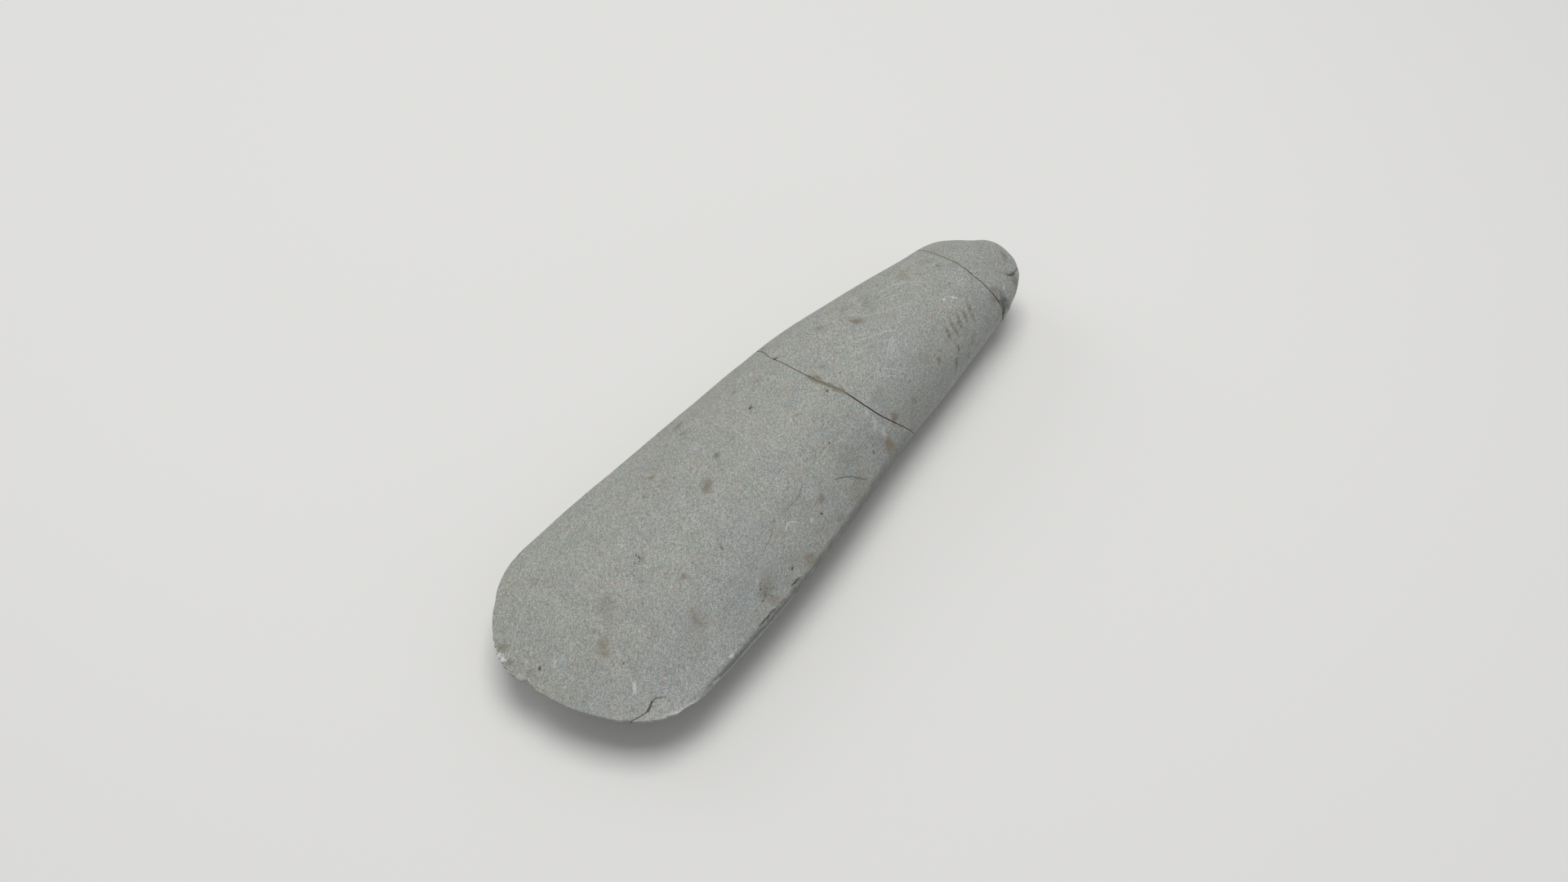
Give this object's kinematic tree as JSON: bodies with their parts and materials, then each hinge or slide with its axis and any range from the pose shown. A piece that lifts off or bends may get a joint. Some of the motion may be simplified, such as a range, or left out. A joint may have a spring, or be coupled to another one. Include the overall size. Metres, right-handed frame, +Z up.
{
  "type": "neolithic polished stone axe head",
  "caption": "Slim polished stone axe head with a curved cutting edge, narrow side facets and a rounded butt, broken across and glued, lying flat.",
  "frame": {"origin": "middle of the bounding box at the surface that the head lies on", "axes": "+X along the head from the cutting edge to the butt, +Y across it to the side with the obliquely cut butt corner, +Z up through its thickness"},
  "size_m": [0.1722, 0.0572, 0.0275],
  "materials": {
    "polished_stone": "ground and polished grey-green stone, dull with age, mottled, speckled and stained",
    "old_glue": "thin brown line of old glue and dirt in the breaks"
  },
  "bodies": {
    "root": {"blade_fragment": "polished_stone", "middle_fragment": "polished_stone", "butt_fragment": "polished_stone"}
  },
  "joints": []
}
